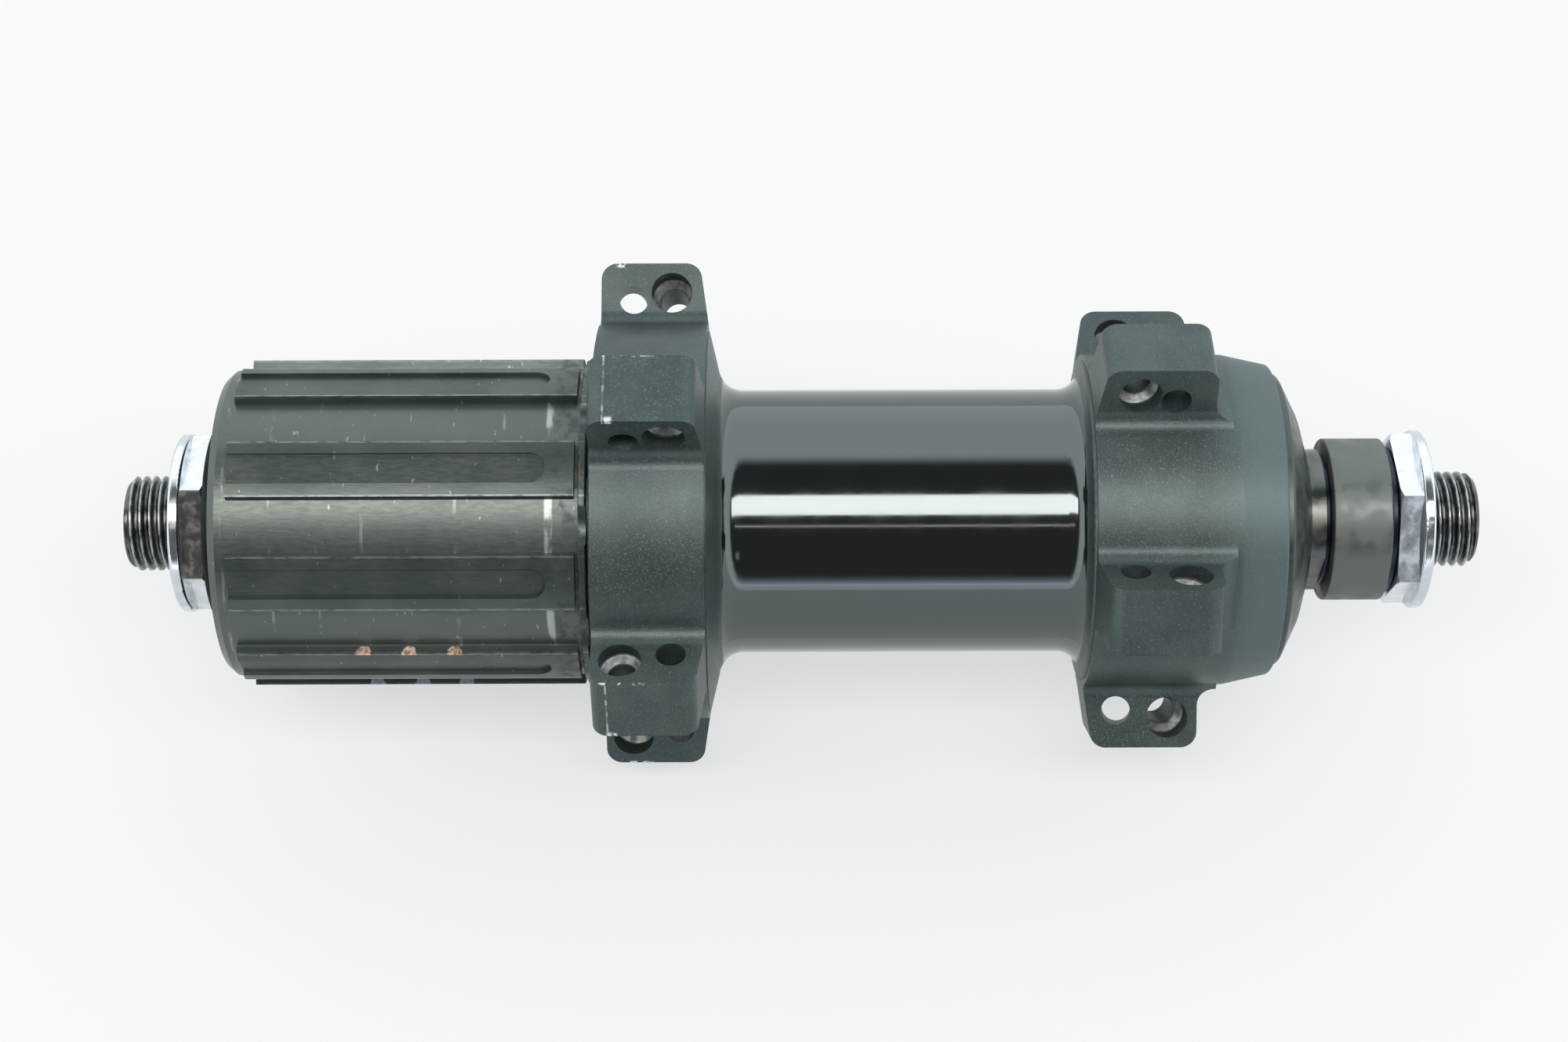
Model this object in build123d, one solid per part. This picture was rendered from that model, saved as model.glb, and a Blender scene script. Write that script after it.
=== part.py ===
from build123d import *
import os
from math import cos, radians, sin, tan

# Rear bicycle hub. The hub axis is Y, the drive side is -Y, and +Z is up. All sizes are in millimetres.
# Turned pieces are drawn as half sections: each corner is (radius, y) or (radius, y, rounding radius).

# Driving sizes
LOCKNUT_SPACING = 130.0      # over the outer faces of the two locknuts
AXLE_LENGTH = 141.0
AXLE_RADIUS = 5.0            # M10 x 1 major radius
PITCH_RADIUS = 4.68          # where engaged axle threads are drawn
SKEWER_RADIUS = 2.6          # bore through the axle
THREAD_GAP = 0.03            # between engaged threads
NUT_ACROSS_FLATS = 16.0
BALL_RADIUS = 3.175          # quarter-inch main balls
BALL_CIRCLE = 9.45
BALL_COUNT = 9
SMALL_BALL_RADIUS = 1.5875   # eighth-inch driver balls
SMALL_BALL_CIRCLE = 13.1
SMALL_BALL_COUNT = 25
TRACK_GAP = 0.04             # running clearance round every ball
SPOKE_RADIUS = 1.5           # spoke hole
SPOKE_HEAD_RADIUS = 2.15     # counterbore for the spoke's head
SPOKE_HEAD_DEPTH = 2.4
LUG_COUNT = 5
RIB_COUNT = 9
TOOTH_COUNT = 24

# Stations along the axis
FACE = LOCKNUT_SPACING / 2
DRIVE_BALLS_Y = -49.4
NON_DRIVE_BALLS_Y = 45.4
OUTER_ROW_Y = -54.0
INNER_ROW_Y = -26.5
DRIVER_MOUTH_Y = -59.65
DRIVER_END_Y = -21.6
RIB_START_Y = -57.6
RIB_END_Y = -22.8
COLLAR_Y = -22.4
SHELL_DRIVE_Y = -21.2
SHELL_END_Y = 48.75

# Shell sizes
TUBE_RADIUS = 13.8
TUBE_BORE = 10.8
BARREL_RADIUS = 17.35
CUP_SEAT_RADIUS = 14.0
TAIL_RADIUS = 10.2
TAIL_SPLINE_RADIUS = 11.2
BOLT_RADIUS = 7.2
BOLT_BORE = 5.6

# Driver sizes
VALLEY_RADIUS = 16.05
COLLAR_RADIUS = 16.95
RIB_RADIUS = 17.1
RIB_WIDTH = 5.9
FIRST_RIB = 80
LOCKRING_RADIUS = 14.8       # minor radius of the lockring thread
POCKET_WIDTH = 3.2
POCKET_FLOOR = 16.6
TOOTH_TIP_RADIUS = 13.2
TOOTH_ROOT_RADIUS = 14.4
RATCHET_Y = (-38.5, -30.0)
PAWL_Y = (-37.0, -31.0)
SPRING_Y = -34.0
PAWL_PIVOT_CIRCLE = 11.4
PAWL_PIVOT_RADIUS = 1.5
PAWL_CARRIER_RADIUS = 12.8
PAWL_FOLD = 11               # degrees from engaged to folded
TOOTH_LEAD = 1.2             # degrees that each tooth face stands off an engaged pawl

# Each flange: root cylinder, lug tips, lug half width, first lug angle, spoke holes
DRIVE_FLANGE = {
    "root": 20.7,
    "tip": 27.1,
    "half_width": 3.75,
    "first_lug": 90,
    "outboard": -21.0,
    "foot": -21.0,
    "inboard": (-9.7, -10.6),
    "hole_circle": 23.5,
    "outboard_hole": -17.8,
    "inboard_hole": -13.3,
    "lean": 4.0,
    "tuck": 6.0,
}
NON_DRIVE_FLANGE = {
    "root": 17.4,
    "tip": 23.7,
    "half_width": 3.66,
    "first_lug": 108,
    "outboard": 41.5,
    "foot": 43.4,
    "inboard": (29.5, 30.5),
    "hole_circle": 20.1,
    "outboard_hole": 37.9,
    "inboard_hole": 33.4,
    "lean": 7.0,
    "tuck": 6.0,
}


def turned(*corners):
    """Turn a closed half section about the hub axis."""
    outline = make_face(Polyline(*[corner[:2] for corner in corners], close=True))
    for corner in corners:
        if len(corner) == 3:
            outline = fillet(nearest(outline, corner), corner[2])
    return revolve(outline, Axis.Y)


def sleeve(inner, outer, low, high):
    """A plain ring between two radii and two stations."""
    return turned((inner, low), (outer, low), (outer, high), (inner, high))


def ball_track(circle, ball_radius, station):
    """The ring-shaped room that a row of balls runs in."""
    ring = Plane.XY * Pos(circle, station) * Circle(ball_radius + TRACK_GAP)
    return revolve(ring, Axis.Y)


def ball_row(circle, ball_radius, count, station):
    """One row of loose balls."""
    step = 360 / count
    return [
        Pos(*around(circle, index * step, station)) * Sphere(ball_radius)
        for index in range(count)
    ]


def outward(angle):
    """Unit vector away from the hub axis, turned from +X towards +Z."""
    return Vector(cos(radians(angle)), 0, sin(radians(angle)))


def along_turn(angle):
    """Unit vector square to outward(), towards increasing angle."""
    return Vector(-sin(radians(angle)), 0, cos(radians(angle)))


def around(radius, angle, station):
    """A point at a radius and angle round the hub axis."""
    return tuple(outward(angle) * radius + Vector(0, station, 0))


def cross_section(station):
    """Sketch plane square to the hub axis, with X across and Z up."""
    return Plane(origin=(0, station, 0), x_dir=(1, 0, 0), z_dir=(0, -1, 0))


def between(sketch, low, high):
    """Extrude a cross section between two stations."""
    return extrude(cross_section(high) * sketch, high - low)


def hexagon(across_flats, bore, low, high, first_corner):
    """A hexagonal prism with a round bore."""
    outline = Rot(0, 0, first_corner) * RegularPolygon(across_flats / 2, 6, major_radius=False)
    return between(outline - Circle(bore), low, high)


def with_flats(body, half_width, low, high):
    """Two parallel spanner flats, facing +X and -X."""
    reach = 30
    length = high - low
    middle = (low + high) / 2
    for side in (1, -1):
        body -= Pos(side * (half_width + reach / 2), middle, 0) * Box(reach, length, reach)
    return body


# Axle set

def axle():
    """Hollow axle: full thread radius where it stands free, pitch radius inside the nuts and cones."""
    tip = AXLE_LENGTH / 2
    return turned(
        (SKEWER_RADIUS, -tip),
        (AXLE_RADIUS - 1, -tip),
        (AXLE_RADIUS, -tip + 1),
        (AXLE_RADIUS, -FACE),
        (PITCH_RADIUS, -FACE),
        (PITCH_RADIUS, FACE),
        (AXLE_RADIUS, FACE),
        (AXLE_RADIUS, tip - 1),
        (AXLE_RADIUS - 1, tip),
        (SKEWER_RADIUS, tip),
    )


def locknut(side, corner):
    """Locknut: round flange outboard, hexagon inboard with one corner at that angle.

    side is -1 on the drive side.
    """
    height = 3.5
    bore = PITCH_RADIUS + THREAD_GAP
    flange_radius = 9.35
    flange_height = 1.2
    lead_in = 0.5
    outer, inner = side * FACE, side * (FACE - height)
    seam = side * (FACE - flange_height)
    flange = turned(
        (bore, outer - side * lead_in),
        (bore + lead_in, outer),
        (flange_radius, outer, 0.4),
        (flange_radius, seam, 0.3),
        (bore, seam),
    )
    body = hexagon(NUT_ACROSS_FLATS, bore, min(seam, inner), max(seam, inner), corner)
    blank = turned(
        (bore - 1, seam),
        (flange_radius, seam),
        (flange_radius, inner + side * 0.3),
        (8.75, inner),
        (bore - 1, inner),
    )
    return flange + (body & blank)


def cone(side, balls, outer_end, neck_radius, neck_start, flats):
    """Bearing cone: race inboard, neck with two spanner flats outboard."""
    bore = PITCH_RADIUS + THREAD_GAP
    shoulder = BALL_CIRCLE - 0.35
    nose = 6.235
    body = turned(
        (bore, balls - side * 2.5),
        (nose, balls - side * 2.5),
        (nose, balls),
        (shoulder, balls + side * 1.6),
        (shoulder, neck_start, 0.4),
        (neck_radius, neck_start + side * 0.8),
        (neck_radius, outer_end),
        (bore, outer_end),
    )
    body -= ball_track(BALL_CIRCLE, BALL_RADIUS, balls)
    return with_flats(body, flats, min(outer_end, outer_end - side * 1.6), max(outer_end, outer_end - side * 1.6))


def drive_cone_boot():
    """Rubber boot over the drive cone; its outer lip shows in the mouth of the driver."""
    return turned(
        (9.2, -53.4),
        (10.3, -53.4),
        (10.3, -61.3, 0.3),
        (7.75, -61.3),
        (7.75, -58.0),
        (9.2, -57.2),
    )


def non_drive_cone_seal():
    """Rubber ring on the neck of the non-drive cone."""
    return turned((7.5, 50.0), (9.7, 50.0, 0.3), (9.7, 51.0, 0.3), (7.5, 51.0))


# Shell

def flange_outline(flange):
    """A disc with straight-sided lugs and hollow corners, seen along the hub axis."""
    root, tip, half = flange["root"], flange["tip"], flange["half_width"]
    outline = Circle(root)
    for angle in lug_angles(flange):
        outline += Rot(0, 0, angle) * Pos(tip / 2, 0) * Rectangle(tip, 2 * half)
    roots = [v for v in outline.vertices() if abs(Vector(v).length - root) < 0.01]
    return fillet(roots, 1.9)


def lug_angles(flange):
    """The angle of each lug of a flange."""
    return [flange["first_lug"] + index * 360 / LUG_COUNT for index in range(LUG_COUNT)]


def lug_blank(flange, angle):
    """Side view of one lug, wide enough to hold its hollow corners: rounded tip, tapered inboard."""
    root, tip = flange["root"], flange["tip"]
    outboard = flange["outboard"]
    at_root, at_tip = flange["inboard"]
    foot = flange["foot"]
    corners = [(tip, outboard), (tip, at_tip), (root, at_root), (root - 2, at_root), (root - 2, foot)]
    if foot != outboard:
        corners += [(root, foot), (root, outboard)]
    side_view = Plane(origin=(0, 0, 0), x_dir=outward(angle), z_dir=along_turn(angle))
    outline = make_face(Polyline(*corners, close=True))
    for corner in corners[:2]:
        outline = fillet(nearest(outline, corner), 1.7)
    if foot != outboard:
        outline = fillet(nearest(outline, corners[-1]), 1.8)
    return extrude(side_view * outline, flange["half_width"] + 3, both=True)


def nearest(outline, corner):
    """The vertex of a flat outline that lies at a corner."""
    return outline.vertices().sort_by_distance((corner[0], corner[1], 0))[0]


def lugs(flange):
    """The lugged ring of one flange."""
    low, high = sorted((flange["foot"], flange["inboard"][0]))
    envelope = sleeve(flange["root"] - 2, flange["root"], low, high)
    for angle in lug_angles(flange):
        envelope += lug_blank(flange, angle)
    return between(flange_outline(flange), low, high) & envelope


def spoke_hole(flange, lug_angle, outboard):
    """One spoke hole through a lug: a plain bore, and a counterbore with a coned seat for the head.

    The spoke leaves towards the rim's middle plane, so on that side the hole leans inboard.
    It is also tucked in towards the axle there.
    """
    station = flange["outboard_hole"] if outboard else flange["inboard_hole"]
    turn = -1 if outboard else 1
    inboard = Vector(0, -1 if station > 0 else 1, 0)
    exit_way = along_turn(lug_angle) * turn
    exit_way += inboard * tan(radians(flange["lean"]))
    exit_way -= outward(lug_angle) * tan(radians(flange["tuck"]))
    exit_way = exit_way.normalized()
    centre = outward(lug_angle) * flange["hole_circle"] + Vector(0, station, 0)
    reach = flange["half_width"] + 4
    seat = 4 + SPOKE_HEAD_DEPTH
    half_section = make_face(
        Polyline(
            (0, 0),
            (SPOKE_HEAD_RADIUS, 0),
            (SPOKE_HEAD_RADIUS, seat - 0.6),
            (SPOKE_RADIUS, seat),
            (SPOKE_RADIUS, 2 * reach),
            (0, 2 * reach),
            close=True,
        )
    )
    hole = Rot(90, 0, 0) * revolve(half_section, Axis.Y)
    return Plane(origin=centre - exit_way * reach, z_dir=exit_way) * hole


def tail_spline(core, teeth, low, high):
    """Twelve-tooth spline that keys the freehub's inner body to the shell."""
    count = 12
    outline = Circle(core)
    for index in range(count):
        outline += Rot(0, 0, index * 360 / count) * Pos(teeth / 2, 0) * Rectangle(teeth, 2.6)
    return between(outline, low, high)


def hub_shell():
    """Shell: drive flange, waisted tube, non-drive flange and bearing barrel in one piece."""
    drive_root = DRIVE_FLANGE["root"]
    other_root = NON_DRIVE_FLANGE["root"]
    shell = turned(
        (BOLT_RADIUS + THREAD_GAP, SHELL_DRIVE_Y),
        (drive_root - 0.7, SHELL_DRIVE_Y, 0.3),
        (drive_root - 0.7, -9.55),
        (16.4, -8.7, 0.8),
        (TUBE_RADIUS, -8.2, 2.6),
        (TUBE_RADIUS, 29.0, 2.4),
        (other_root - 0.6, 29.2, 0.3),
        (other_root - 0.6, 41.8),
        (BARREL_RADIUS, 43.0, 0.4),
        (BARREL_RADIUS, 44.0, 1.0),
        (16.3, SHELL_END_Y, 0.3),
        (15.4, SHELL_END_Y),
        (15.4, 48.2),
        (CUP_SEAT_RADIUS, 48.2),
        (CUP_SEAT_RADIUS, 41.2),
        (TUBE_BORE, 41.2),
        (TUBE_BORE, -1.0),
        (BOLT_RADIUS + THREAD_GAP, -5.0),
    )
    for flange in (DRIVE_FLANGE, NON_DRIVE_FLANGE):
        shell += lugs(flange)
        for angle in lug_angles(flange):
            shell -= spoke_hole(flange, angle, True)
            shell -= spoke_hole(flange, angle, False)
    socket = tail_spline(TAIL_RADIUS + 0.05, TAIL_SPLINE_RADIUS + 0.05, SHELL_DRIVE_Y - 1, -14.4)
    return shell - socket


def non_drive_cup():
    """Hardened cup pressed into the barrel."""
    body = turned(
        (8.6, 41.2),
        (CUP_SEAT_RADIUS, 41.2, 0.3),
        (CUP_SEAT_RADIUS, 48.2),
        (12.75, 48.2),
        (12.75, 46.0),
        (8.6, 43.0),
    )
    return body - ball_track(BALL_CIRCLE, BALL_RADIUS, NON_DRIVE_BALLS_Y)


def non_drive_dust_cover():
    """Dished cover pressed into the end of the barrel."""
    return turned(
        (14.7, 48.3),
        (15.35, 48.3),
        (15.35, 49.5, 0.3),
        (11.8, 51.3, 1.5),
        (7.85, 52.5),
        (7.85, 51.8),
        (11.3, 50.7),
        (14.7, 49.0),
    )


# Freehub

def freehub_inner_body():
    """Pawl carrier, splined into the shell and bored for the fixing bolt."""
    body = turned(
        (11.43, -45.9),
        (PAWL_CARRIER_RADIUS, -45.9, 0.2),
        (PAWL_CARRIER_RADIUS, -26.0),
        (14.4, -25.6),
        (14.4, -23.9),
        (13.6, -23.7),
        (13.6, -21.7),
        (TAIL_RADIUS - 1, -21.7),
        (TAIL_RADIUS - 1, -14.4),
        (BOLT_RADIUS + THREAD_GAP, -14.4),
        (BOLT_RADIUS + THREAD_GAP, -24.5),
        (8.6, -24.5),
        (8.6, -42.9),
        (11.43, -42.9),
    )
    body -= ball_track(SMALL_BALL_CIRCLE, SMALL_BALL_RADIUS, INNER_ROW_Y)
    tail = tail_spline(TAIL_RADIUS, TAIL_SPLINE_RADIUS, -21.8, -14.4)
    body += tail - sleeve(0, BOLT_RADIUS + THREAD_GAP, -22.0, -14.0)
    body -= sleeve(11.7, 14, SPRING_Y - 0.6, SPRING_Y + 0.6)
    for angle in (0, 180):
        body -= pawl_pocket(angle)
    return body


def pawl_pocket(angle):
    """Open pocket that a pawl rocks in, with a round socket for its heel."""
    pocket = Polygon(
        polar(9.5, 2),
        polar(14.0, 2),
        polar(14.0, 33),
        polar(10.3, 33),
        align=None,
    )
    pocket += Pos(PAWL_PIVOT_CIRCLE, 0) * Circle(PAWL_PIVOT_RADIUS + 0.06)
    return between(Rot(0, 0, angle) * pocket, PAWL_Y[0] - 0.1, PAWL_Y[1] + 0.1)


def polar(radius, angle):
    """A point of a cross section, from its radius and angle."""
    return (radius * cos(radians(angle)), radius * sin(radians(angle)))


def pawl(angle):
    """Pawl folded in under the teeth: round heel, tapered arm, slot across the tip for the spring.

    It is drawn engaged, then turned in about its heel.
    """
    outline = Polygon(
        polar(13.95, 28.8),
        polar(12.0, 28.8),
        polar(10.1, 3),
        polar(12.6, 4),
        align=None,
    )
    outline += Pos(PAWL_PIVOT_CIRCLE, 0) * Circle(PAWL_PIVOT_RADIUS)
    body = between(Rot(0, 0, angle) * outline, *PAWL_Y)
    body -= sleeve(11.1, 16, SPRING_Y - 0.65, SPRING_Y + 0.65)
    heel = outward(angle) * PAWL_PIVOT_CIRCLE
    return Pos(heel) * Rot(0, -PAWL_FOLD, 0) * Pos(-heel) * body


def pawl_spring():
    """Round wire clip that lies in the groove and presses both pawls out."""
    wire_radius = 0.35
    loop_radius = 12.2
    opening = 24
    wire = Plane.XY * Pos(loop_radius, SPRING_Y) * Circle(wire_radius)
    return Rot(0, 100, 0) * revolve(wire, Axis.Y, 360 - opening)


def freehub_bearing_ring():
    """Threaded ring: main cup inside, cone for the driver's outer balls outside."""
    notch = Box(30, 1.6, 3.4)
    body = turned(
        (10.7, -56.5),
        (14.4, -56.5, 0.2),
        (14.4, -54.6),
        (12.4, -53.4),
        (12.4, -52.4),
        (13.5, -51.2),
        (13.5, -45.95),
        (11.4, -45.95),
        (11.4, -42.9),
        (8.6, -42.9),
        (8.6, -47.0),
        (10.7, -50.0),
    )
    body -= ball_track(BALL_CIRCLE, BALL_RADIUS, DRIVE_BALLS_Y)
    body -= ball_track(SMALL_BALL_CIRCLE, SMALL_BALL_RADIUS, OUTER_ROW_Y)
    return body - Pos(0, -56.5, 0) * notch


def freehub_dust_cap():
    """Plastic ring that covers the outer face of the bearing ring."""
    return turned((10.75, -57.5, 0.2), (14.2, -57.5, 0.3), (14.2, -56.55), (10.75, -56.55))


def freehub_fixing_bolt():
    """Hollow bolt that clamps the inner body to the shell, with a hexagonal socket."""
    bolt = turned(
        (BOLT_BORE, -29.0),
        (8.3, -29.0, 0.5),
        (8.3, -24.5),
        (BOLT_RADIUS, -24.5),
        (BOLT_RADIUS, -6.5),
        (BOLT_RADIUS - 0.7, -5.8),
        (BOLT_BORE, -5.8),
    )
    return bolt - between(RegularPolygon(6, 6, major_radius=False), -30, -24.8)


def driver_body():
    """Freehub driver: cassette ribs outside, ball races and ratchet teeth inside."""
    body = turned(
        (LOCKRING_RADIUS, DRIVER_MOUTH_Y),
        (15.35, DRIVER_MOUTH_Y),
        (VALLEY_RADIUS, DRIVER_MOUTH_Y + 0.8),
        (VALLEY_RADIUS, COLLAR_Y),
        (COLLAR_RADIUS, COLLAR_Y, 0.15),
        (COLLAR_RADIUS, DRIVER_END_Y, 0.2),
        (15.2, DRIVER_END_Y),
        (15.2, -26.0),
        (13.5, -26.6),
        (13.2, -29.0),
        (TOOTH_TIP_RADIUS, -45.2),
        (13.85, -45.4),
        (13.85, -54.0),
        (LOCKRING_RADIUS, -54.9),
    )
    body -= ball_track(SMALL_BALL_CIRCLE, SMALL_BALL_RADIUS, INNER_ROW_Y)
    body -= ball_track(SMALL_BALL_CIRCLE, SMALL_BALL_RADIUS, OUTER_ROW_Y)
    ribs = Circle(RIB_RADIUS)
    spokes = Sketch()
    for index in range(RIB_COUNT):
        angle = FIRST_RIB + index * 360 / RIB_COUNT
        spokes += Rot(0, 0, angle) * Pos(RIB_RADIUS / 2 + 4, 0) * Rectangle(RIB_RADIUS, RIB_WIDTH)
    ribs = (ribs & spokes) - Circle(VALLEY_RADIUS - 0.4)
    body += between(ribs, RIB_START_Y, RIB_END_Y)
    for index in range(RIB_COUNT):
        angle = FIRST_RIB + index * 360 / RIB_COUNT
        body -= rib_pocket(angle)
        body -= collar_scallop(angle + 180 / RIB_COUNT)
    return body - ratchet_space()


def rib_pocket(angle):
    """Shallow channel along the top of a rib, open at the mouth end and round at the other."""
    end = RIB_END_Y - 2.9
    radius = POCKET_WIDTH / 2
    start = RIB_START_Y - 1
    length = end - radius - start
    floor = Plane(origin=outward(angle) * POCKET_FLOOR, x_dir=(0, 1, 0), z_dir=outward(angle))
    outline = Pos(start + length / 2, 0) * Rectangle(length, POCKET_WIDTH)
    outline += Pos(end - radius, 0) * Circle(radius)
    return extrude(floor * outline, 2)


def collar_scallop(angle):
    """Round scallop in the driver's end collar, in line with a valley."""
    radius = 3.4
    depth = 0.75
    centre = around(COLLAR_RADIUS - depth + radius, angle, (COLLAR_Y + DRIVER_END_Y) / 2)
    return Pos(*centre) * Rot(90, 0, 0) * Cylinder(radius, 3)


def ratchet_space():
    """Room between the saw teeth that the pawls push against."""
    step = 360 / TOOTH_COUNT
    points = []
    for index in range(TOOTH_COUNT):
        start = index * step + TOOTH_LEAD
        points.append(polar(TOOTH_TIP_RADIUS, start))
        points.append(polar(TOOTH_ROOT_RADIUS, start + step))
    return between(Polygon(*points, align=None), *RATCHET_Y)


def driver_inner_seal():
    """Rubber ring at the inboard end of the driver."""
    return sleeve(13.95, 15.15, -23.6, -22.2)


def ring_on_axle(outer, low, high):
    """A washer or spacer on the axle."""
    return turned(
        (PITCH_RADIUS + THREAD_GAP, low),
        (outer, low, 0.2),
        (outer, high, 0.2),
        (PITCH_RADIUS + THREAD_GAP, high),
    )


PIECES = {
    "axle": axle(),
    "drive_locknut": locknut(-1, 22.7),
    "drive_spacer": ring_on_axle(7.6, -61.5, -58.0),
    "drive_lock_washer": ring_on_axle(7.4, -58.0, -57.0),
    "drive_cone": cone(-1, DRIVE_BALLS_Y, -57.0, 8.4, -54.6, 7.0),
    "drive_cone_boot": drive_cone_boot(),
    "non_drive_cone": cone(1, NON_DRIVE_BALLS_Y, 54.1, 7.4, 49.1, 6.5),
    "non_drive_cone_seal": non_drive_cone_seal(),
    "non_drive_inner_washer": ring_on_axle(6.9, 54.1, 54.7),
    "non_drive_spacer": ring_on_axle(8.5, 54.7, 60.8),
    "non_drive_lock_washer": ring_on_axle(7.7, 60.8, 61.5),
    "non_drive_locknut": locknut(1, 16.2),
    "hub_shell": hub_shell(),
    "non_drive_cup": non_drive_cup(),
    "non_drive_dust_cover": non_drive_dust_cover(),
    "freehub_inner_body": freehub_inner_body(),
    "freehub_bearing_ring": freehub_bearing_ring(),
    "freehub_dust_cap": freehub_dust_cap(),
    "freehub_fixing_bolt": freehub_fixing_bolt(),
    "freehub_washer": sleeve(11.4, 14.0, -21.7, SHELL_DRIVE_Y),
    "pawl_a": pawl(0),
    "pawl_b": pawl(180),
    "pawl_spring": pawl_spring(),
    "driver_body": driver_body(),
    "driver_inner_seal": driver_inner_seal(),
    "drive_balls": ball_row(BALL_CIRCLE, BALL_RADIUS, BALL_COUNT, DRIVE_BALLS_Y),
    "non_drive_balls": ball_row(BALL_CIRCLE, BALL_RADIUS, BALL_COUNT, NON_DRIVE_BALLS_Y),
    "outer_driver_balls": ball_row(SMALL_BALL_CIRCLE, SMALL_BALL_RADIUS, SMALL_BALL_COUNT, OUTER_ROW_Y),
    "inner_driver_balls": ball_row(SMALL_BALL_CIRCLE, SMALL_BALL_RADIUS, SMALL_BALL_COUNT, INNER_ROW_Y),
}

os.makedirs("parts", exist_ok=True)
for name, piece in PIECES.items():
    solids = [solid for shape in (piece if isinstance(piece, list) else [piece]) for solid in shape.solids()]
    export_step(solids[0] if len(solids) == 1 else Compound(children=solids), f"parts/{name}.step")
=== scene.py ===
"""Rear hub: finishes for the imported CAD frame, a real thread on the axle, and a small studio.

Everything is in metres in the frame's own axes: the hub turns about Y, the drive side is at -Y
and Z is up. MM turns a drawing size in millimetres into metres.
"""
from math import cos, pi, radians, sin, tan, tau

import bpy
from mathutils import Matrix, Vector


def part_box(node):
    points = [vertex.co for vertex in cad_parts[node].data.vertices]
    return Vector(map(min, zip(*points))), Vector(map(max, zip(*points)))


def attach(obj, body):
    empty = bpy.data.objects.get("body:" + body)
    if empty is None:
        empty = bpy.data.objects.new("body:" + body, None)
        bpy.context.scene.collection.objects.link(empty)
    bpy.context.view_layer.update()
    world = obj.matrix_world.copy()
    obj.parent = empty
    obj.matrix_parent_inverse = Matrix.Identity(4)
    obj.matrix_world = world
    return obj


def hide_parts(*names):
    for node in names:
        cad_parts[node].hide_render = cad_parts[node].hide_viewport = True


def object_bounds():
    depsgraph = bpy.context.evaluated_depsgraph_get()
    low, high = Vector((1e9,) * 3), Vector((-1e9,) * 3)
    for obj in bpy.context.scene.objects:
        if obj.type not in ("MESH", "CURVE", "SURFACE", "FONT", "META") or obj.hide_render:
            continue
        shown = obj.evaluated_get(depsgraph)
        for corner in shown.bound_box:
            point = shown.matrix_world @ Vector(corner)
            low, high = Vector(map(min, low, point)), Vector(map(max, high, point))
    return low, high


MM = 0.001

# The picture: where the camera stands and how long its lens is
CAMERA_ELEVATION = radians(61.4)
CAMERA_DISTANCE = 305 * MM
CAMERA_ALONG = -1.8 * MM
CAMERA_ROLL = radians(0.2)
LENS = 66.4
SENSOR_WIDTH = 36

# The studio: the floor and lamps in metres, and the dark opening in the tent round the camera
FLOOR_SIZE = 4.0
LAMP_DISTANCE = 1.2
TENT_STRENGTH = 1.6
OPENING_STRENGTH = 0.13
OPENING_INSIDE = radians(48)
OPENING_OUTSIDE = radians(60)

# The hub's shell
LUG_COUNT = 5
DRIVE_LUG_TIP = 27.1 * MM
DRIVE_LUG_HALF = 3.75 * MM
DRIVE_FIRST_LUG = radians(90)
SPOKE_HEAD_RADIUS = 2.15 * MM
SPOKE_HEAD_DEPTH = 2.4 * MM
# inboard is the sense of Y towards the rim's middle plane. Every lug has two spoke holes:
# (place along the hub, the way round that the spoke leaves)
FLANGES = (
    {
        "inboard": 1,
        "first_lug": DRIVE_FIRST_LUG,
        "half": DRIVE_LUG_HALF,
        "hole_circle": 23.5 * MM,
        "lean": radians(4),
        "holes": ((-17.8 * MM, -1), (-13.3 * MM, 1)),
    },
    {
        "inboard": -1,
        "first_lug": radians(108),
        "half": 3.66 * MM,
        "hole_circle": 20.1 * MM,
        "lean": radians(7),
        "holes": ((37.9 * MM, -1), (33.4 * MM, 1)),
    },
)
TUCK = radians(6)
TUBE_FROM = -8.0 * MM
TUBE_TO = 28.6 * MM
BARREL_FROM = 42.6 * MM
FLANGE_OUTBOARD = -21.0 * MM
CORNER_RADIUS = 1.7 * MM

# The freehub driver
VALLEY_RADIUS = 16.05 * MM
RIB_RADIUS = 17.1 * MM
RIB_COUNT = 9
RIB_WIDTH = 5.9 * MM
FIRST_RIB = radians(80)
SPROCKET_PITCH = 4.67 * MM
LAST_SPROCKET = -25.4 * MM
BITTEN_FLANKS = (radians(10), radians(-30))
# Bites are counted in sprockets from the innermost one, and sit this much past each line.
MIDDLE_BITE = 3
BITE_OFFSET = 0.13
BITE_HALF = 0.8 * MM
BITE_DEPTH = 0.9 * MM

# The flat of the drive side's nut that has dirt on it
SOILED_FLAT = radians(52.7)
SOILED_FROM = -63.8 * MM

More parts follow.
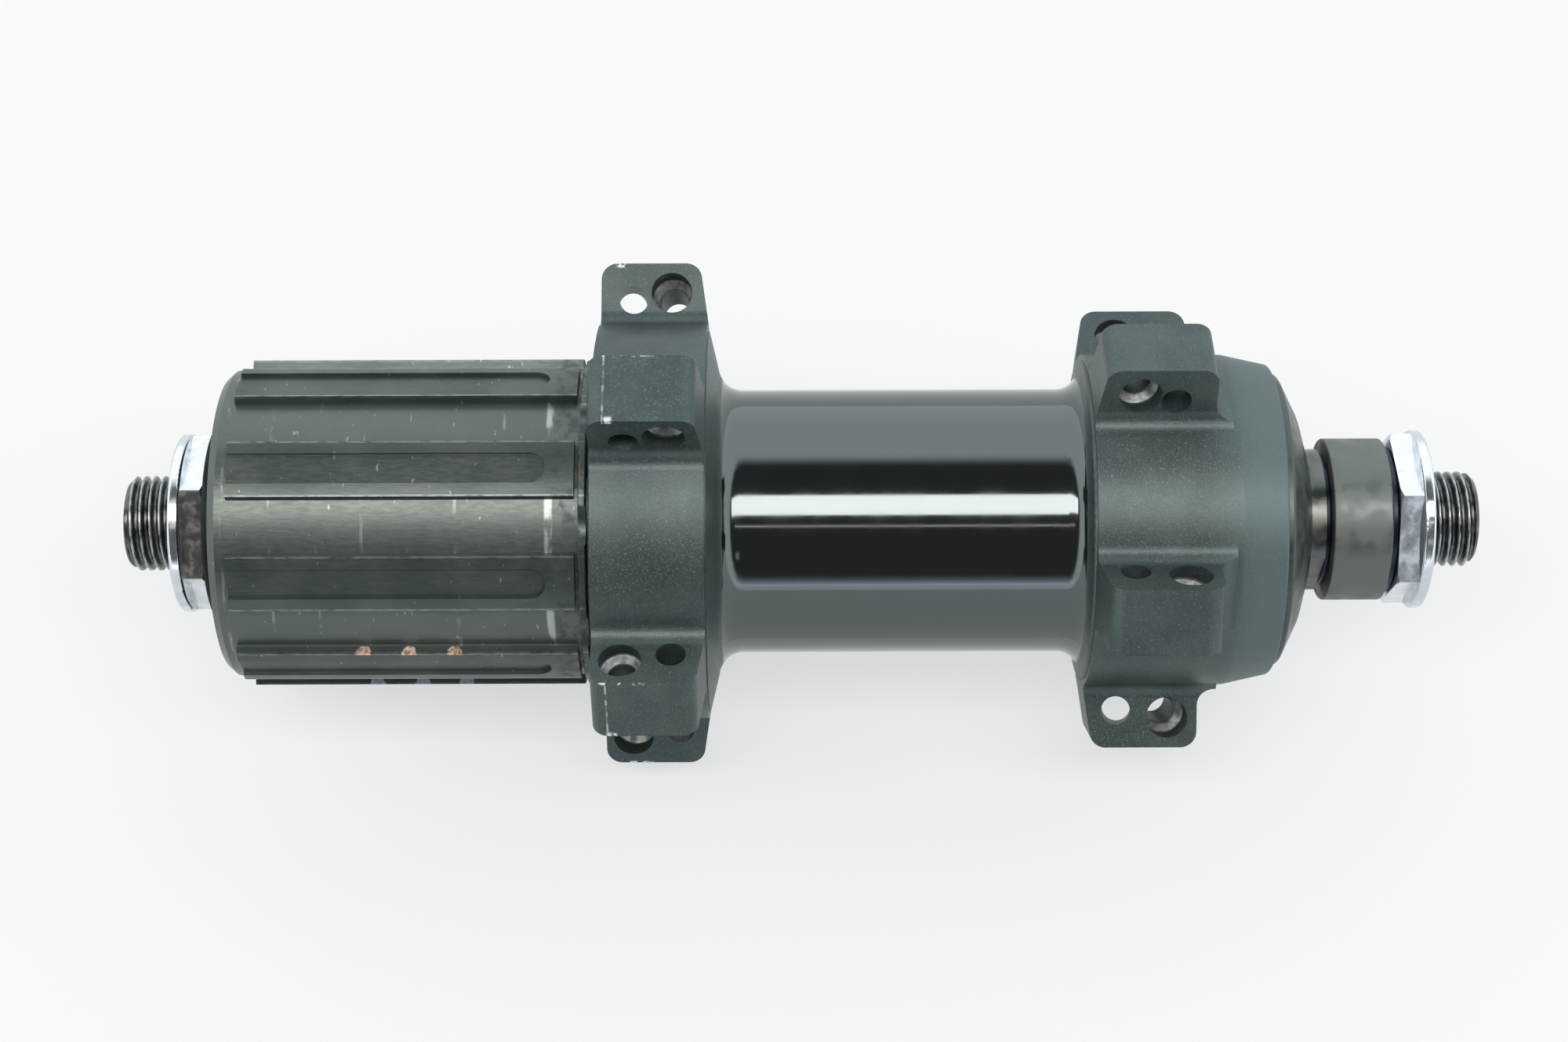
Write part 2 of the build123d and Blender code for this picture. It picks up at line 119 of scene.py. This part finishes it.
# Plain finishes: (darker tone, lighter tone, metallic, roughness)
TURNED_STEELS = {
    "spacer_steel": ((0.118, 0.137, 0.132), (0.138, 0.156, 0.148), 0.8, 0.52),
    # washer_steel is painted near-black blue: painted shade for the shaded gap between the spacer
    # and the locknut.
    "washer_steel": ((0.016, 0.02, 0.034), (0.035, 0.042, 0.07), 0.8, 0.35),
    "cone_steel": ((0.085, 0.098, 0.092), (0.135, 0.145, 0.135), 1.0, 0.32),
    "ball_steel": ((0.5, 0.5, 0.5), (0.62, 0.63, 0.64), 1.0, 0.1),
    "cup_steel": ((0.3, 0.3, 0.3), (0.42, 0.43, 0.43), 1.0, 0.22),
    "dust_cover_steel": ((0.068, 0.082, 0.083), (0.085, 0.1, 0.1), 0.9, 0.4),
    "inner_steel": ((0.2, 0.2, 0.19), (0.34, 0.34, 0.33), 1.0, 0.3),
    "spring_steel": ((0.25, 0.25, 0.25), (0.4, 0.4, 0.4), 1.0, 0.25),
}
# Rubber and plastic: (darker tone, lighter tone, roughness)
SOFT_BLACKS = {
    "rubber": ((0.005, 0.006, 0.007), (0.012, 0.014, 0.016), 0.6),
    "cap_plastic": ((0.01, 0.01, 0.011), (0.02, 0.021, 0.022), 0.42),
}

# The axle's thread, M10 x 1
THREAD_PITCH = 1 * MM
THREAD_CREST = 5.0 * MM
THREAD_ROOT = 4.39 * MM
PITCH_RADIUS = 4.68 * MM
SKEWER_RADIUS = 2.6 * MM
END_CHAMFER = 0.7 * MM


class Finish:
    """A material's node tree. Each method adds one node or a short chain and returns its output."""

    def __init__(self, name, colour, metallic, roughness):
        self.material = bpy.data.materials.new(name)
        self.material.use_nodes = True
        self.tree = self.material.node_tree
        self.shader = self.tree.nodes["Principled BSDF"]
        self.place = self.add("ShaderNodeTexCoord").outputs["Object"]
        self.set("Base Color", (*colour, 1))
        self.set("Metallic", metallic)
        self.set("Roughness", roughness)

    def add(self, kind, **settings):
        node = self.tree.nodes.new(kind)
        for key, value in settings.items():
            setattr(node, key, value)
        return node

    def feed(self, socket, value):
        """Links an output to a socket, or writes a plain value on it."""
        if isinstance(value, bpy.types.NodeSocket):
            self.tree.links.new(value, socket)
        else:
            socket.default_value = value

    def set(self, name, value):
        self.feed(self.shader.inputs[name], value)

    def math(self, operation, *values):
        node = self.add("ShaderNodeMath", operation=operation)
        for socket, value in zip(node.inputs, values):
            self.feed(socket, value)
        return node.outputs[0]

    def times(self, *values):
        result = values[0]
        for value in values[1:]:
            result = self.math("MULTIPLY", result, value)
        return result

    def ramp(self, value, start, end, low=0.0, high=1.0):
        """low up to start and high from end, smooth between. start may be above end."""
        node = self.add("ShaderNodeMapRange", interpolation_type="SMOOTHSTEP")
        for socket, given in zip(node.inputs, (value, start, end, low, high)):
            self.feed(socket, given)
        return node.outputs[0]

    def band(self, value, centre, half, soft):
        """1 within half of centre, falling to 0 over soft."""
        away = self.math("ABSOLUTE", self.math("SUBTRACT", value, centre))
        return self.ramp(away, half + soft, half)

    def noise(self, size, detail=3.0, stretch=(1, 1, 1)):
        """Noise with features of about that size. stretch above 1 draws them out along an axis."""
        mapping = self.add("ShaderNodeMapping")
        self.feed(mapping.inputs["Vector"], self.place)
        self.feed(mapping.inputs["Scale"], [1 / (size * by) for by in stretch])
        node = self.add("ShaderNodeTexNoise")
        self.feed(node.inputs["Vector"], mapping.outputs[0])
        self.feed(node.inputs["Scale"], 1.0)
        self.feed(node.inputs["Detail"], detail)
        self.feed(node.inputs["Roughness"], 0.5)
        return node.outputs["Fac"]

    def axes(self):
        """(x, y, z) of the point in the frame's axes."""
        node = self.add("ShaderNodeSeparateXYZ")
        self.feed(node.inputs[0], self.place)
        return tuple(node.outputs)

    def polar(self):
        """(radius from the hub's axis, angle from +X towards +Z, y)."""
        x, y, z = self.axes()
        squares = self.math("ADD", self.times(x, x), self.times(z, z))
        return self.math("SQRT", squares), self.math("ARCTAN2", z, x), y

    def vector(self, operation, first, second, output):
        node = self.add("ShaderNodeVectorMath", operation=operation)
        self.feed(node.inputs[0], first)
        if second is not None:
            self.feed(node.inputs[1], second)
        return node.outputs[output]

    def mix(self, factor, first, second):
        node = self.add("ShaderNodeMix", data_type="RGBA")
        self.feed(node.inputs["Factor"], factor)
        for name, value in (("A", first), ("B", second)):
            socket = next(s for s in node.inputs if s.name == name and s.type == "RGBA")
            self.feed(socket, value if isinstance(value, bpy.types.NodeSocket) else (*value, 1))
        return next(s for s in node.outputs if s.type == "RGBA")

    def vary(self, value, noise, spread):
        """value changed by up to spread either way as the noise goes."""
        return self.ramp(noise, 0.3, 0.7, value - spread, value + spread)

    def bump(self, height, distance):
        """height from 0 to 1 raises the surface by distance."""
        node = self.add("ShaderNodeBump")
        self.feed(node.inputs["Height"], height)
        self.feed(node.inputs["Distance"], distance)
        self.feed(node.inputs["Strength"], 1.0)
        self.set("Normal", node.outputs[0])


def from_nearest(finish, angle, first, count):
    """Angle from the nearest of count equal stations round the axis, in radians either way."""
    step = tau / count
    turned = finish.math("SUBTRACT", angle, first - step / 2)
    return finish.math("SUBTRACT", finish.math("FLOORED_MODULO", turned, step), step / 2)


def lug_chips(finish, radius, angle, y):
    """Chipped finish on the drive side's lugs.

    It is along the leading edge of each tip near its outboard end, down the line where the tip
    starts to round off outboard, and at the tip's far corner.
    """
    apart = from_nearest(finish, angle, DRIVE_FIRST_LUG, LUG_COUNT)
    height = finish.times(radius, finish.math("COSINE", apart))
    aside = finish.times(radius, finish.math("SINE", apart))
    below_tip = finish.math("SUBTRACT", DRIVE_LUG_TIP, height)
    from_side = finish.math("SUBTRACT", DRIVE_LUG_HALF, aside)
    outboard = finish.math("SUBTRACT", y, FLANGE_OUTBOARD)
    patchy = finish.ramp(finish.noise(1.1 * MM, 6), 0.5, 0.56, 0.0, 0.75)
    edge = finish.ramp(finish.math("MAXIMUM", below_tip, from_side), 0.22 * MM, 0.13 * MM)
    edge = finish.times(edge, finish.ramp(outboard, 7.5 * MM, 3.0 * MM), patchy)
    on_tip = finish.ramp(below_tip, 0.5 * MM, 0.4 * MM)
    line = finish.band(outboard, CORNER_RADIUS - 0.1 * MM, 0.06 * MM, 0.07 * MM)
    scraped = finish.ramp(finish.noise(1.3 * MM, 5), 0.45, 0.58, 0.05, 0.42)
    far_corner = finish.ramp(finish.math("ADD", aside, DRIVE_LUG_HALF), 0.7 * MM, 0.3 * MM)
    beside = finish.band(outboard, CORNER_RADIUS + 0.3 * MM, 0.35 * MM, 0.3 * MM)
    corner = finish.times(far_corner, on_tip, beside, patchy)
    drive_side = finish.math("LESS_THAN", y, 0.0)
    chips = finish.math("MAXIMUM", edge, finish.times(line, on_tip, scraped))
    return finish.times(finish.math("MAXIMUM", chips, corner), drive_side)


def spoke_seat(finish, radius, angle, y, flange, hole):
    """Where a spoke's head has rubbed the seat of its counterbore bare, in every lug at once."""
    along_hub, way = hole
    apart = from_nearest(finish, angle, flange["first_lug"], LUG_COUNT)
    from_hole = finish.add("ShaderNodeCombineXYZ")
    finish.feed(from_hole.inputs[0], finish.times(radius, finish.math("SINE", apart)))
    finish.feed(from_hole.inputs[1], finish.math("SUBTRACT", y, along_hub))
    height = finish.times(radius, finish.math("COSINE", apart))
    finish.feed(from_hole.inputs[2], finish.math("SUBTRACT", height, flange["hole_circle"]))
    lean = flange["inboard"] * tan(flange["lean"])
    exit_way = Vector((way, lean, -tan(TUCK))).normalized()
    along = finish.vector("DOT_PRODUCT", from_hole.outputs[0], exit_way, "Value")
    across = finish.vector("CROSS_PRODUCT", from_hole.outputs[0], exit_way, "Vector")
    away = finish.vector("LENGTH", across, None, "Value")
    seat = SPOKE_HEAD_DEPTH - flange["half"]
    in_bore = finish.ramp(away, SPOKE_HEAD_RADIUS + 0.3 * MM, SPOKE_HEAD_RADIUS + 0.1 * MM)
    at_seat = finish.band(along, seat - 0.3 * MM, 0.45 * MM, 0.2 * MM)
    patchy = finish.ramp(finish.noise(0.8 * MM, 3), 0.35, 0.6, 0.3, 0.9)
    return finish.times(in_bore, at_seat, patchy)


def spoke_seats(finish, radius, angle, y):
    """Every spoke seat of both flanges."""
    seats = 0.0
    for flange in FLANGES:
        for hole in flange["holes"]:
            seat = spoke_seat(finish, radius, angle, y, flange, hole)
            seats = finish.math("MAXIMUM", seats, seat)
    return seats


def shell_black():
    """Black anodised aluminium: polished tube, blasted satin flanges, lighter satin barrel."""
    finish = Finish("shell_black", (0.04, 0.06, 0.06), 0.0, 0.45)
    finish.set("Specular IOR Level", 0.1)
    radius, angle, y = finish.polar()
    polished = finish.times(
        finish.ramp(y, TUBE_FROM - 0.3 * MM, TUBE_FROM),
        finish.ramp(y, TUBE_TO + 0.3 * MM, TUBE_TO),
    )
    barrel = finish.ramp(y, BARREL_FROM - 3 * MM, BARREL_FROM + 4 * MM)
    cloud = finish.noise(5 * MM, 3)
    grain = finish.noise(0.16 * MM, 2)
    clouded = finish.ramp(cloud, 0.35, 0.65)
    satin = finish.mix(clouded, (0.06, 0.08, 0.083), (0.073, 0.096, 0.097))
    satin = finish.mix(barrel, satin, (0.1, 0.135, 0.14))
    satin = finish.mix(finish.ramp(grain, 0.56, 0.74, 0, 0.8), satin, (0.15, 0.19, 0.19))
    colour = finish.mix(polished, satin, (0.106, 0.121, 0.124))
    seats = spoke_seats(finish, radius, angle, y)
    colour = finish.mix(seats, colour, (0.34, 0.36, 0.36))
    chips = lug_chips(finish, radius, angle, y)
    finish.set("Base Color", finish.mix(chips, colour, (0.68, 0.7, 0.7)))
    bare = finish.math("SUBTRACT", 1.0, chips)
    metal = finish.math("MAXIMUM", polished, 0.75)
    finish.set("Metallic", finish.times(metal, bare))
    rougher_barrel = finish.times(barrel, 0.08)
    satin_roughness = finish.math("ADD", finish.vary(0.44, grain, 0.07), rougher_barrel)
    polished_roughness = finish.vary(0.09, finish.noise(3 * MM), 0.02)
    spread = finish.math("SUBTRACT", polished_roughness, satin_roughness)
    finish.set("Roughness", finish.math("ADD", satin_roughness, finish.times(spread, polished)))
    rough = finish.math("SUBTRACT", 1.0, polished)
    chipped = finish.math("SUBTRACT", finish.times(grain, rough), finish.times(chips, 2.0))
    finish.bump(chipped, 0.012 * MM)
    return finish.material


def sprocket_lines(finish, steps, in_valley):
    """Thin lines that sprocket edges rub round every valley, worst at the innermost sprocket.

    steps counts sprockets from the innermost one.
    """
    nearest_step = finish.math("ROUND", steps)
    off_line = finish.math("ABSOLUTE", finish.math("SUBTRACT", steps, nearest_step))
    innermost = finish.ramp(nearest_step, 0.6, 0.4)
    patchy = finish.ramp(finish.noise(2.6 * MM, 3, stretch=(1, 0.3, 1)), 0.5, 0.66)
    worn = finish.ramp(finish.noise(4.5 * MM, 2, stretch=(1, 0.3, 1)), 0.42, 0.56)
    faint = finish.times(finish.ramp(off_line, 0.05, 0.02), in_valley, patchy, 0.3)
    strong = finish.times(finish.ramp(off_line, 0.11, 0.05), in_valley, innermost, worn, 0.75)
    return finish.math("MAXIMUM", faint, strong)


def rib_edge_highlights(finish, radius, aside, grain):
    """The ribs' long top edges, lightened as a painted highlight where they catch the light."""
    edge = finish.band(aside, RIB_WIDTH / 2 - 0.1 * MM, 0.06 * MM, 0.08 * MM)
    at_top = finish.ramp(radius, RIB_RADIUS - 0.3 * MM, RIB_RADIUS - 0.12 * MM)
    return finish.times(edge, at_top, finish.ramp(grain, 0.3, 0.6), 0.3)


def sprocket_bites(finish, steps, radius, aside, on_rib):
    """Half-round marks that the middle sprockets bite into the flanks of the ribs."""
    bite_steps = finish.math("SUBTRACT", steps, BITE_OFFSET)
    from_bite = finish.math("SUBTRACT", bite_steps, finish.math("ROUND", bite_steps))
    across = finish.math("DIVIDE", finish.times(from_bite, SPROCKET_PITCH), BITE_HALF)
    inward = finish.math("DIVIDE", finish.math("SUBTRACT", RIB_RADIUS, radius), BITE_DEPTH)
    outline = finish.math("ADD", finish.times(across, across), finish.times(inward, inward))
    ragged = finish.times(finish.math("SUBTRACT", finish.noise(0.5 * MM, 3), 0.5), 1.6)
    bite = finish.ramp(finish.math("ADD", outline, ragged), 1.1, 0.8)
    flank = finish.ramp(aside, RIB_WIDTH / 2 - 0.3 * MM, RIB_WIDTH / 2 - 0.1 * MM)
    middle = finish.band(bite_steps, MIDDLE_BITE, 1.3, 0.1)
    return finish.times(bite, flank, middle, on_rib)


def driver_steel():
    """Dark phosphated steel with the marks that sprockets leave between and on the ribs."""
    finish = Finish("driver_steel", (0.07, 0.09, 0.09), 0.7, 0.35)
    radius, angle, y = finish.polar()
    apart = from_nearest(finish, angle, FIRST_RIB, RIB_COUNT)
    aside = finish.times(radius, finish.math("ABSOLUTE", finish.math("SINE", apart)))
    on_rib = finish.ramp(radius, VALLEY_RADIUS + 0.1 * MM, VALLEY_RADIUS + 0.3 * MM)
    in_valley = finish.math("SUBTRACT", 1.0, on_rib)
    cloud = finish.noise(6 * MM, 4)
    grain = finish.noise(0.3 * MM, 3, stretch=(1, 4, 1))
    dark = finish.mix(finish.ramp(cloud, 0.35, 0.65), (0.056, 0.073, 0.07), (0.074, 0.09, 0.083))
    colour = finish.mix(finish.times(in_valley, 0.6), dark, (0.108, 0.126, 0.118))

    steps = finish.math("DIVIDE", finish.math("SUBTRACT", LAST_SPROCKET, y), SPROCKET_PITCH)
    colour = finish.mix(sprocket_lines(finish, steps, in_valley), colour, (0.4, 0.44, 0.42))
    # Handling has left light nicks all over.
    nicks = finish.noise(0.7 * MM, 2, stretch=(1.6, 0.7, 1.6))
    colour = finish.mix(finish.ramp(nicks, 0.7, 0.76, 0.0, 0.5), colour, (0.36, 0.4, 0.39))
    # Painted highlight: thin light lines along the ribs' top edges.
    colour = finish.mix(rib_edge_highlights(finish, radius, aside, grain), colour, (0.4, 0.46, 0.46))

    # Two neighbouring ribs took the bites: rusty on the upper one, bare steel on the lower one.
    bites = sprocket_bites(finish, steps, radius, aside, on_rib)
    sparkle = finish.ramp(finish.noise(0.4 * MM, 2), 0.3, 0.7)
    rusty = finish.mix(sparkle, (0.3, 0.18, 0.13), (0.85, 0.64, 0.5))
    bare = finish.mix(sparkle, (0.36, 0.36, 0.45), (0.52, 0.52, 0.62))
    for flank, tone in zip(BITTEN_FLANKS, (rusty, bare)):
        here = finish.times(bites, finish.band(angle, flank, 0.07, 0.02))
        colour = finish.mix(here, colour, tone)

    # Old grease and dirt lies in the groove against the collar.
    groove = finish.ramp(y, LAST_SPROCKET - 0.2 * MM, LAST_SPROCKET + 1.2 * MM)
    dirt = finish.times(groove, finish.ramp(finish.noise(1.2 * MM, 5), 0.42, 0.64), 0.45)
    finish.set("Base Color", finish.mix(dirt, colour, (0.036, 0.046, 0.046)))
    roughness = finish.vary(0.35, grain, 0.04)
    finish.set("Roughness", finish.math("ADD", roughness, finish.times(dirt, 0.4)))
    finish.bump(finish.math("SUBTRACT", grain, finish.times(dirt, 0.8)), 0.01 * MM)
    return finish.material


def turned_steel(name, low, high, metallic, roughness):
    """Lathe-turned metal: rings round the axis and slow mottling between two tones."""
    finish = Finish(name, high, metallic, roughness)
    mottling = finish.noise(2 * MM, 3)
    rings = finish.noise(0.12 * MM, 2, stretch=(60, 1, 60))
    finish.set("Base Color", finish.mix(finish.ramp(mottling, 0.35, 0.65), low, high))
    finish.set("Roughness", finish.vary(roughness, mottling, roughness * 0.25))
    finish.bump(rings, 0.002 * MM)
    return finish.material


def chrome():
    """Bright nickel-chrome plate, a little smeared, with dark specks all over and dirt on one flat
    of the drive side's nut.
    """
    finish = Finish("chrome", (0.8, 0.82, 0.86), 1.0, 0.07)
    _, angle, y = finish.polar()
    smear = finish.noise(1.6 * MM, 4)
    specks = finish.noise(0.9 * MM, 6)
    spots = finish.ramp(specks, 0.6, 0.75, 0, 0.4)
    plate = finish.mix(finish.ramp(smear, 0.35, 0.7), (0.66, 0.695, 0.73), (0.57, 0.61, 0.65))
    # The drive side's nut has picked up baked-on dirt on one flat.
    soiled = finish.times(
        finish.math("LESS_THAN", y, 0.0),
        finish.band(angle, SOILED_FLAT, radians(29), radians(2)),
        finish.ramp(y, SOILED_FROM - 0.1 * MM, SOILED_FROM + 0.1 * MM),
        finish.ramp(specks, 0.5, 0.75, 1.0, 0.8),
    )
    dirt = finish.mix(finish.ramp(specks, 0.35, 0.7), (0.045, 0.048, 0.048), (0.11, 0.11, 0.106))
    colour = finish.mix(spots, plate, (0.2, 0.19, 0.18))
    finish.set("Base Color", finish.mix(soiled, colour, dirt))
    finish.set("Metallic", finish.ramp(soiled, 0.0, 1.0, 1.0, 0.3))
    roughness = finish.vary(0.17, smear, 0.08)
    finish.set("Roughness", finish.math("ADD", roughness, finish.times(soiled, 0.2)))
    finish.bump(smear, 0.008 * MM)
    return finish.material


def soft_black(name, low, high, roughness):
    """Rubber or plastic: nearly black, with a dusty bloom and a fine pebble."""
    finish = Finish(name, high, 0.0, roughness)
    finish.set("Specular IOR Level", 0.2)
    bloom = finish.noise(1.8 * MM, 4)
    pebble = finish.noise(0.2 * MM, 2)
    finish.set("Base Color", finish.mix(finish.ramp(bloom, 0.4, 0.65), low, high))
    finish.set("Roughness", finish.vary(roughness, pebble, 0.08))
    finish.bump(pebble, 0.01 * MM)
    return finish.material


def axle_steel():
    """Blackened thread, polished along its crests."""
    finish = Finish("axle_steel", (0.1, 0.11, 0.11), 1.0, 0.3)
    radius, _, _ = finish.polar()
    crest = finish.ramp(radius, 4.75 * MM, 4.95 * MM)
    stain = finish.noise(1.2 * MM, 4)
    flank = finish.mix(finish.ramp(stain, 0.35, 0.65), (0.065, 0.072, 0.075), (0.14, 0.148, 0.15))
    worn = finish.times(crest, finish.ramp(stain, 0.3, 0.6, 0.5, 1.0))
    finish.set("Base Color", finish.mix(worn, flank, (0.42, 0.45, 0.46)))
    finish.set("Roughness", finish.vary(0.34, stain, 0.08))
    finish.bump(finish.noise(0.1 * MM, 2), 0.003 * MM)
    return finish.material


def finishes():
    """One material for every slot of the record."""
    looks = {
        "axle_steel": axle_steel(),
        "chrome": chrome(),
        "shell_black": shell_black(),
        "driver_steel": driver_steel(),
    }
    for name, look in TURNED_STEELS.items():
        looks[name] = turned_steel(name, *look)
    for name, look in SOFT_BLACKS.items():
        looks[name] = soft_black(name, *look)
    return looks


def thread_radius(angle, y, tip):
    """Radius of the thread's surface: a flat-topped right-hand ridge, chamfered at the tip."""
    turns = (y / THREAD_PITCH + angle / tau) % 1
    from_crest = abs(2 * turns - 1)
    crest_flat, root_flat = 1 / 8, 1 / 4
    down = (from_crest - crest_flat) / (1 - crest_flat - root_flat)
    radius = THREAD_CREST - (THREAD_CREST - THREAD_ROOT) * min(max(down, 0), 1)
    return min(radius, THREAD_CREST - END_CHAMFER + tip - abs(y))


def threaded_axle():
    """The axle with its thread cut at both free ends. It is smooth where nuts and cones hide it."""
    around = 96
    rings_per_turn = 12
    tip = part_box("axle")[1][1]
    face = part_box("non_drive_locknut")[1][1]
    count = round((tip - face) / THREAD_PITCH * rings_per_turn)
    free = [face + (tip - face) * step / count for step in range(count + 1)]
    hidden = [(face, PITCH_RADIUS), (-face, PITCH_RADIUS)]
    bore = [(-tip, SKEWER_RADIUS), (tip, SKEWER_RADIUS)]

    def ring(y, radius=None):
        turn = [tau * index / around for index in range(around)]
        sizes = [radius or thread_radius(angle, y, tip) for angle in turn]
        return [(size * cos(angle), y, size * sin(angle)) for size, angle in zip(sizes, turn)]

    rings = [ring(y) for y in reversed(free)]
    rings += [ring(y, radius) for y, radius in hidden]
    rings += [ring(-y) for y in free]
    rings += [ring(y, radius) for y, radius in bore]
    vertices = [point for one in rings for point in one]
    faces = []
    for index in range(len(rings)):
        here, after = index * around, (index + 1) % len(rings) * around
        for step in range(around):
            beyond = (step + 1) % around
            faces.append((here + step, here + beyond, after + beyond, after + step))
    mesh = bpy.data.meshes.new("threaded_axle")
    mesh.from_pydata(vertices, [], faces)
    mesh.validate()
    mesh.shade_smooth()
    mesh.set_sharp_from_angle(angle=radians(50))
    axle = bpy.data.objects.new("threaded_axle", mesh)
    bpy.context.collection.objects.link(axle)
    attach(axle, "axle_set")
    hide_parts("axle")
    return axle


def toward(angle):
    """Unit direction in the plane across the hub: angle 0 is the camera's, growing towards the top
    of the picture."""
    elevation = CAMERA_ELEVATION + angle
    return Vector((cos(elevation), 0, sin(elevation)))


def facing(direction, roll=0.0):
    """Rotation whose local Z points along direction and local X along the hub, rolled about Z."""
    back = Vector(direction).normalized()
    right = Vector((0, 1, 0))
    up = back.cross(right)
    turned_right = right * cos(roll) - up * sin(roll)
    turned_up = up * cos(roll) + right * sin(roll)
    return Matrix((turned_right, turned_up, back)).transposed().to_4x4()


def place_camera():
    lens = bpy.data.cameras.new("camera")
    lens.lens = LENS
    lens.sensor_width = SENSOR_WIDTH
    lens.clip_start = 0.01
    camera = bpy.data.objects.new("camera", lens)
    bpy.context.collection.objects.link(camera)
    spot = toward(0) * CAMERA_DISTANCE + Vector((0, CAMERA_ALONG, 0))
    camera.matrix_world = Matrix.Translation(spot) @ facing(toward(0), CAMERA_ROLL)
    bpy.context.scene.camera = camera


def place_floor(height):
    """A pale table top just under the object, lit a little from below like a light table."""
    bpy.ops.mesh.primitive_plane_add(size=FLOOR_SIZE, location=(0, 0, height))
    floor = bpy.context.object
    floor.name = "floor"
    finish = Finish("floor_white", (0.18, 0.183, 0.186), 0.0, 0.6)
    finish.set("Emission Color", (0.97, 1.0, 1.0, 1))
    finish.set("Emission Strength", 0.63)
    floor.data.materials.append(finish.material)


def soft_box(name, angle, size, strength, colour, along=0.0):
    """A rectangular lamp facing the hub, at that angle from the camera and that far along it."""
    light = bpy.data.lights.new(name, "AREA")
    light.shape = "RECTANGLE"
    light.size, light.size_y = size
    light.energy = strength * size[0] * size[1] * pi
    light.color = colour
    box = bpy.data.objects.new(name, light)
    bpy.context.collection.objects.link(box)
    spot = toward(angle) * LAMP_DISTANCE + Vector((0, along, 0))
    box.matrix_world = Matrix.Translation(spot) @ facing(spot)


def light_studio():
    """A white tent all round, open and dark where the photographer stands, and the lamps.

    The strip lamp and the two slits make the lines along the polished tube. The card lights the
    non-drive locknut.
    """
    world = bpy.data.worlds.new("tent")
    bpy.context.scene.world = world
    world.use_nodes = True
    tree = world.node_tree
    background = tree.nodes["Background"]
    place = tree.nodes.new("ShaderNodeTexCoord")
    dot = tree.nodes.new("ShaderNodeVectorMath")
    dot.operation = "DOT_PRODUCT"
    dot.inputs[1].default_value = toward(0)
    opening = tree.nodes.new("ShaderNodeMapRange")
    opening.interpolation_type = "SMOOTHSTEP"
    opening.inputs["From Min"].default_value = cos(OPENING_OUTSIDE)
    opening.inputs["From Max"].default_value = cos(OPENING_INSIDE)
    opening.inputs["To Min"].default_value = TENT_STRENGTH
    opening.inputs["To Max"].default_value = OPENING_STRENGTH
    tree.links.new(place.outputs["Generated"], dot.inputs[0])
    tree.links.new(dot.outputs["Value"], opening.inputs["Value"])
    tree.links.new(opening.outputs["Result"], background.inputs["Strength"])
    background.inputs["Color"].default_value = (0.95, 1.0, 1.0, 1)
    soft_box("strip_lamp", radians(13.5), (2.4, 0.36), 7.6, (1.0, 0.95, 0.9))
    soft_box("nut_card", radians(-30), (0.3, 0.12), 0.7, (0.9, 0.95, 1.0), along=0.42)
    soft_box("slit", radians(-4.5), (1.4, 0.016), 4.0, (1.0, 0.97, 0.9))
    soft_box("violet_slit", radians(-57), (1.4, 0.03), 1.5, (0.7, 0.35, 1.0))


def paint(nodes):
    """Every CAD node gets the finish of its own slot."""
    looks = finishes()
    for name, node in nodes.items():
        for index, given in enumerate(node.data.materials):
            node.data.materials[index] = looks[given.name.split(".")[0]]
    return looks


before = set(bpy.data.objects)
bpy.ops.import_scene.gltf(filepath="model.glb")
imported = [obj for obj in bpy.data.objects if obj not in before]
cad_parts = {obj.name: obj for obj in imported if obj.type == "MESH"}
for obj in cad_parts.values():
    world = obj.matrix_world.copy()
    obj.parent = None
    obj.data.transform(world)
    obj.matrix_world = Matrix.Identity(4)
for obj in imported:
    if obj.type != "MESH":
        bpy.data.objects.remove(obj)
cad_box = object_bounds()
for default in ("Camera", "Light"):
    if default in bpy.data.objects:
        bpy.data.objects.remove(bpy.data.objects[default])
bpy.context.scene.view_settings.view_transform = "Standard"

looks = paint(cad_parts)
threaded_axle().data.materials.append(looks["axle_steel"])
place_camera()
place_floor(cad_box[0][2])
light_studio()
